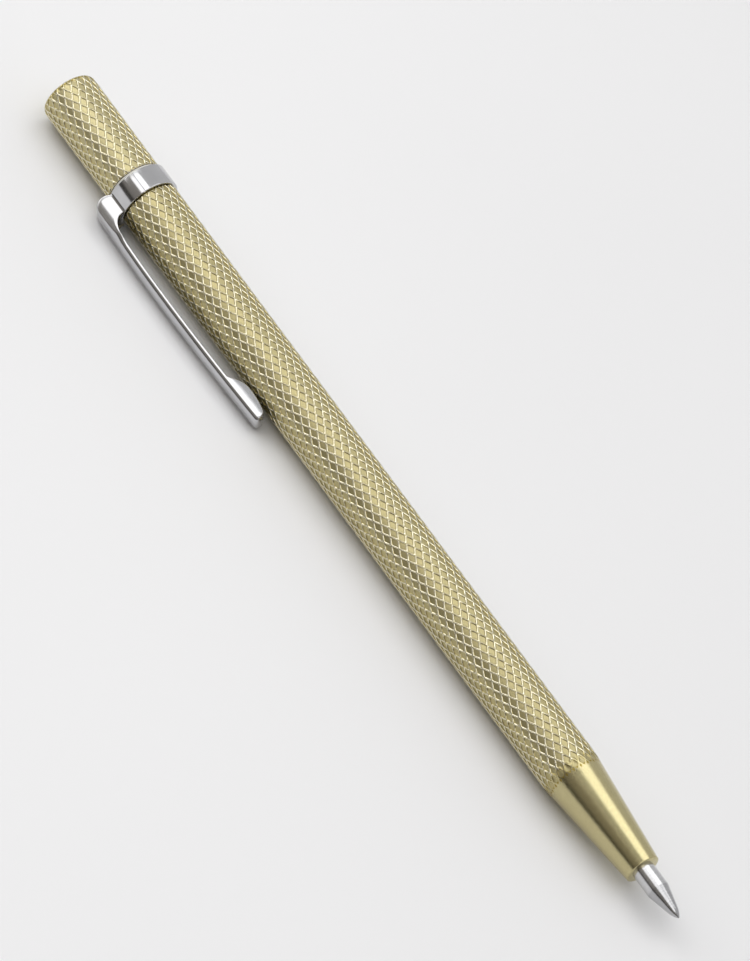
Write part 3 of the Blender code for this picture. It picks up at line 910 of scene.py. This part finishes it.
def make_world():
    """A plain studio: darker towards the horizon in front, lighter overhead and behind."""
    world = bpy.data.worlds.new("studio")
    bpy.context.scene.world = world
    world.use_nodes = True
    nodes, links = world.node_tree.nodes, world.node_tree.links
    coordinates = nodes.new("ShaderNodeTexCoord")
    parts = nodes.new("ShaderNodeSeparateXYZ")
    angle = nodes.new("ShaderNodeMath")
    angle.operation = "ARCTAN2"
    flip = nodes.new("ShaderNodeMath")
    flip.operation = "MULTIPLY"
    flip.inputs[1].default_value = -1.0
    scaled = nodes.new("ShaderNodeMath")
    scaled.operation = "DIVIDE"
    scaled.inputs[1].default_value = math.pi
    links.new(coordinates.outputs["Generated"], parts.inputs["Vector"])
    links.new(parts.outputs["Y"], flip.inputs[0])
    links.new(parts.outputs["Z"], angle.inputs[0])
    links.new(flip.outputs["Value"], angle.inputs[1])
    links.new(angle.outputs["Value"], scaled.inputs[0])
    warm = (1.0, 0.93, 0.84)
    plain = (1.0, 1.0, 1.0)
    stops = [
        (0, 0.06, warm),
        (13, 0.07, warm),
        (19, 0.24, warm),
        (45, 0.3, warm),
        (80, 0.38, plain),
        (90, 0.62, plain),
        (180, 0.68, plain),
    ]
    colours = [(degrees / 180, tuple(level * part for part in tint)) for degrees, level, tint in stops]
    colour = ramp(nodes, links, scaled.outputs["Value"], colours)
    links.new(colour, nodes["Background"].inputs["Color"])
    nodes["Background"].inputs["Strength"].default_value = 1.0


def make_camera():
    """A long lens from beside and slightly in front of the point, turned so that the pen lies aslant."""
    clip_elevation = math.degrees(math.asin(CLIP_OUT.z))
    tilt = math.radians(VIEW_TILT)
    facing = direction_round_pen(clip_elevation + VIEW_FROM_CLIP)
    toward = ALONG * math.sin(tilt) + facing * math.cos(tilt)
    pen_seen = (ALONG * math.cos(tilt) - facing * math.sin(tilt)).normalized()
    aside = toward.cross(pen_seen)
    slope = math.radians(PEN_SLOPE)
    right = pen_seen * math.cos(slope) + aside * math.sin(slope)
    up = aside * math.cos(slope) - pen_seen * math.sin(slope)
    aim = TAIL + ALONG * (TIP_Z - VIEW_AIM_FROM_TIP) + aside * VIEW_AIM_ASIDE
    data = bpy.data.cameras.new("camera")
    data.lens = LENS
    data.sensor_width = 36.0
    data.clip_start = 0.1
    data.clip_end = 20.0
    camera = bpy.data.objects.new("camera", data)
    turned = Matrix((right, up, toward)).transposed().to_4x4()
    camera.matrix_world = Matrix.Translation(aim + toward * VIEW_DISTANCE) @ turned
    bpy.context.scene.collection.objects.link(camera)
    bpy.context.scene.camera = camera


# ---- put together ----

make_floor()
make_world()
make_softbox("key_softbox", 103.0, 0.44, -0.2, 0.14, 1.38)
make_softbox("side_softbox", 67.0, 0.36, -0.42, -0.12, 1.7)
make_softbox("tail_softbox", 62.0, 0.76, -1.0, -0.48, 2.6)
make_softbox("tip_softbox", 68.0, 0.36, 0.085, 0.38, 1.6)
make_camera()
bpy.context.scene.view_settings.view_transform = "Standard"

# The first colour of each brass is its crest, burnished and pushed near white as a painted highlight; the ridge
# foot colour made from the cell colour is painted shade.
barrel_brass = body_brass("barrel_brass", (1.0, 0.97, 0.84), (0.53, 0.47, 0.26), (0.48, 0.42, 0.22))
cap_brass = body_brass("cap_brass", (1.0, 0.97, 0.86), (0.60, 0.54, 0.30), (0.53, 0.47, 0.26))
bore_brass = turned_brass("turned_brass", (0.48, 0.40, 0.18), (0.56, 0.48, 0.24))
plate = bright_plate("clip_bright_plate", (0.58, 0.58, 0.59), 0.13)
carbide = ground_metal("carbide_rod", (0.66, 0.66, 0.67), 0.2, (1.0, 0.03, 0.03))
# The cone's carbide is painted darker than the rod's with the same roughness: a painted shade for the darker
# reflection the cone shows.
shaded_carbide_cone = ground_metal("shaded_carbide_cone", (0.5, 0.5, 0.51), 0.2, (1.0, 0.03, 0.03))
steel = ground_metal("turned_steel", (0.56, 0.56, 0.57), 0.32, (1.0, 0.03, 0.03), 5000)
black_steel = ground_metal("black_steel", (0.09, 0.09, 0.10), 0.42, (1.0, 0.3, 0.3), 3000)
washer_nylon = nylon("washer_nylon")

barrel = make_barrel([barrel_brass, bore_brass])
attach(barrel, "barrel")
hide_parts("barrel")

cap = make_cap([cap_brass, bore_brass])
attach(cap, "cap")
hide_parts("rear_cap")

stud = make_stud(steel)
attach(stud, "cap")
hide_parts("cap_stud")

screw = make_screw(black_steel)
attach(screw, "barrel")
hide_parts("backing_screw")

point = make_point([carbide, shaded_carbide_cone])
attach(point, "barrel")
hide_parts("carbide_point")

clip = make_clip(plate)
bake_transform(clip)
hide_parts("clip_band", "clip_arm")

for node, material in (("cap_washer", washer_nylon), ("point_holder", steel)):
    frame["nodes"][node].data.materials.clear()
    frame["nodes"][node].data.materials.append(material)
